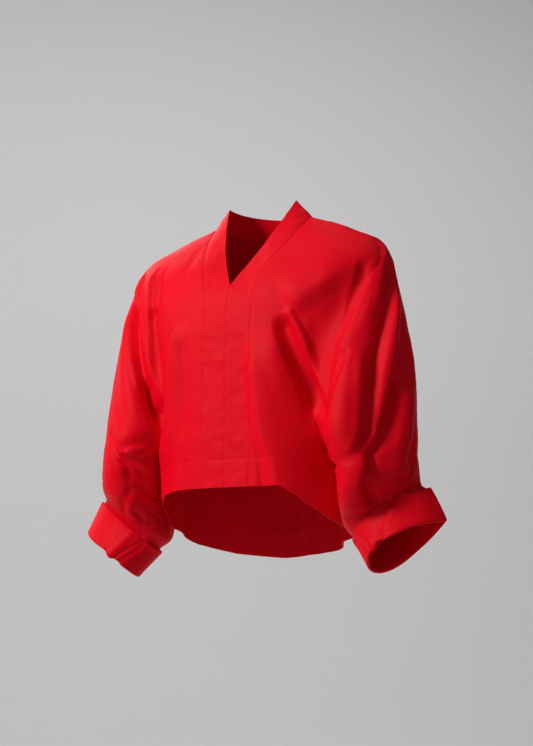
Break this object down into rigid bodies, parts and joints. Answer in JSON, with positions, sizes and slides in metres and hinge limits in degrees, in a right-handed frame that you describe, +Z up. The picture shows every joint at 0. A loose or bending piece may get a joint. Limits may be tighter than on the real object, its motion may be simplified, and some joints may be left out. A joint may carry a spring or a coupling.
{
  "type": "draped top",
  "caption": "V-neck batwing blouse in crisp red cotton, worn form, with a band along front and neck, sleeves cut in one with the body and wide turned-back cuffs.",
  "frame": {"origin": "on the neck axis at the height where shoulder and neck meet, where the wearer holds the blouse up", "axes": "+Z up; the front of the blouse faces -Y; +X is the wearer's left"},
  "size_m": [0.7268, 0.2422, 0.6666],
  "materials": {
    "cotton_body": "crisp plain-weave cotton, matt with a faint sheen",
    "cotton_band": "crisp plain-weave cotton, pressed flat, matt",
    "cotton_cuff": "crisp plain-weave cotton, turned back and creased, matt"
  },
  "bodies": {
    "root": {"front_left": "cotton_body", "front_right": "cotton_body", "back_left": "cotton_body", "back_right": "cotton_body", "band_left": "cotton_band", "band_right": "cotton_band", "sleeve_band_left": "cotton_body", "sleeve_band_right": "cotton_body", "cuff_left": "cotton_cuff", "cuff_right": "cotton_cuff"}
  },
  "joints": []
}
